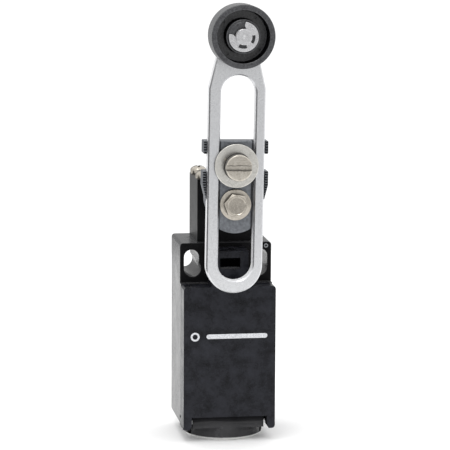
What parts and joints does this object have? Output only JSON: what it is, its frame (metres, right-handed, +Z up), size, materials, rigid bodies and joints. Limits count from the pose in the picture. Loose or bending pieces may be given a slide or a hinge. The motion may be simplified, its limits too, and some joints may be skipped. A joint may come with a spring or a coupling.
{
  "type": "limit switch",
  "caption": "Black moulded limit switch with a turning head, a slotted steel lever adjustable in length, a plastic roller and a screwed cable entry.",
  "frame": {"origin": "on the flat back face, midway between the two mounting slots", "axes": "+X to the right seen from the front, +Y out of the back face into the wall it is fixed to, +Z up towards the roller"},
  "size_m": [0.03, 0.051, 0.1433],
  "materials": {
    "black_nylon": "fine moulded texture, satin",
    "black_acetal": "smooth, low sheen",
    "slate_casting": "satin dark grey die casting",
    "tumbled_steel": "tumbled, matt bright",
    "nickel": "nickel plated, satin",
    "spring_steel": "bright spring steel",
    "bronze": "sintered bronze",
    "brass": "bright stamped brass",
    "rubber": "black, matt",
    "pale_nylon": "natural nylon",
    "grey_moulding": "matt grey moulding"
  },
  "bodies": {
    "housing": {"base_housing": "black_nylon", "entry_ring": "pale_nylon", "head_housing": "black_nylon", "head_gasket": "rubber", "head_screw_1": "nickel", "head_screw_2": "nickel", "head_screw_3": "nickel", "head_screw_4": "nickel", "shaft_bush": "bronze", "shaft_seal": "rubber", "return_spring": "spring_steel", "plunger_spring": "spring_steel", "contact_block": "grey_moulding", "slide_spring": "spring_steel", "slide_retainer": "grey_moulding", "block_screw_left": "nickel", "block_screw_right": "nickel", "fixed_contact_1": "brass", "terminal_clamp_1": "nickel", "terminal_screw_1": "nickel", "fixed_contact_2": "brass", "terminal_clamp_2": "nickel", "terminal_screw_2": "nickel", "fixed_contact_3": "brass", "terminal_clamp_3": "nickel", "terminal_screw_3": "nickel", "fixed_contact_4": "brass", "terminal_clamp_4": "nickel", "terminal_screw_4": "nickel"},
    "cover": {"cover_shell": "black_nylon", "cover_gasket": "rubber", "hinge_pin_left": "spring_steel", "hinge_pin_right": "spring_steel"},
    "rotor": {"shaft": "spring_steel", "cam": "brass", "spline_hub": "spring_steel", "lever_carrier": "slate_casting", "hub_screw": "nickel", "clamp_washer": "nickel", "lock_washer": "spring_steel", "clamp_screw": "nickel", "clamp_nut": "nickel"},
    "lever": {"lever_plate": "tumbled_steel", "roller_axle": "nickel", "roller_washer": "nickel", "e_clip": "spring_steel"},
    "roller_wheel": {"roller": "black_acetal", "roller_bush": "bronze"},
    "plunger_rod": {"plunger": "black_acetal"},
    "contact_carriage": {"contact_slide": "pale_nylon", "contact_bridge_upper": "brass", "contact_bridge_lower": "brass"}
  },
  "joints": [
    {"name": "shaft_turn", "type": "hinge", "parent": "housing", "child": "rotor", "pos_m": [0, -0.018, 0.0218], "axis": [0, 1, 0], "range_deg": [-75, 75], "stiffness_Nm_per_rad": 0.12},
    {"name": "lever_slide", "type": "slide", "parent": "rotor", "child": "lever", "axis": [0.014, 0, 0.9999], "range_m": [-0.016, 0.012]},
    {"name": "roller_spin", "type": "hinge", "parent": "lever", "child": "roller_wheel", "pos_m": [0.00075, -0.0455, 0.07559], "axis": [0, 1, 0], "continuous": true},
    {"name": "cover_hinge", "type": "hinge", "parent": "housing", "child": "cover", "pos_m": [0, -0.0259, -0.0515], "axis": [1, 0, 0], "range_deg": [0, 5]},
    {"name": "plunger_travel", "type": "slide", "parent": "housing", "child": "plunger_rod", "axis": [0, 0, -1], "range_m": [0, 0.0025], "stiffness_N_per_m": 600, "springref_m": -0.003, "deforming": ["plunger_spring"]},
    {"name": "contact_travel", "type": "slide", "parent": "housing", "child": "contact_carriage", "axis": [0, 0, -1], "range_m": [0, 0.0025], "deforming": ["slide_spring"]}
  ],
  "couplings": [
    {"joint": "contact_travel", "follows": "plunger_travel", "ratio": 1}
  ]
}
